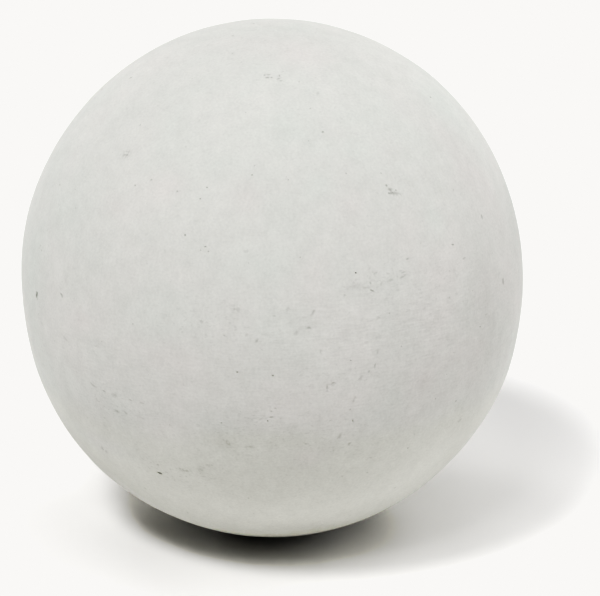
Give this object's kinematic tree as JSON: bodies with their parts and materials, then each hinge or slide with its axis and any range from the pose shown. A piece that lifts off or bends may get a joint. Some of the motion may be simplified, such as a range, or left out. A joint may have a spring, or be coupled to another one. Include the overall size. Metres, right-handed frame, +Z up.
{
  "type": "concrete garden ball",
  "caption": "Solid cast-concrete garden ball with a weathered, lightly chipped face that stands on a small ground flat.",
  "frame": {"origin": "centre of the flat under the ball, on the ground", "axes": "+Z up through the middle of the ball; -Y is the side that faces the viewer, +X is to the viewer's right"},
  "size_m": [0.3926, 0.3996, 0.4039],
  "materials": {
    "concrete": "matt"
  },
  "bodies": {
    "root": {"concrete_ball": "concrete"}
  },
  "joints": []
}
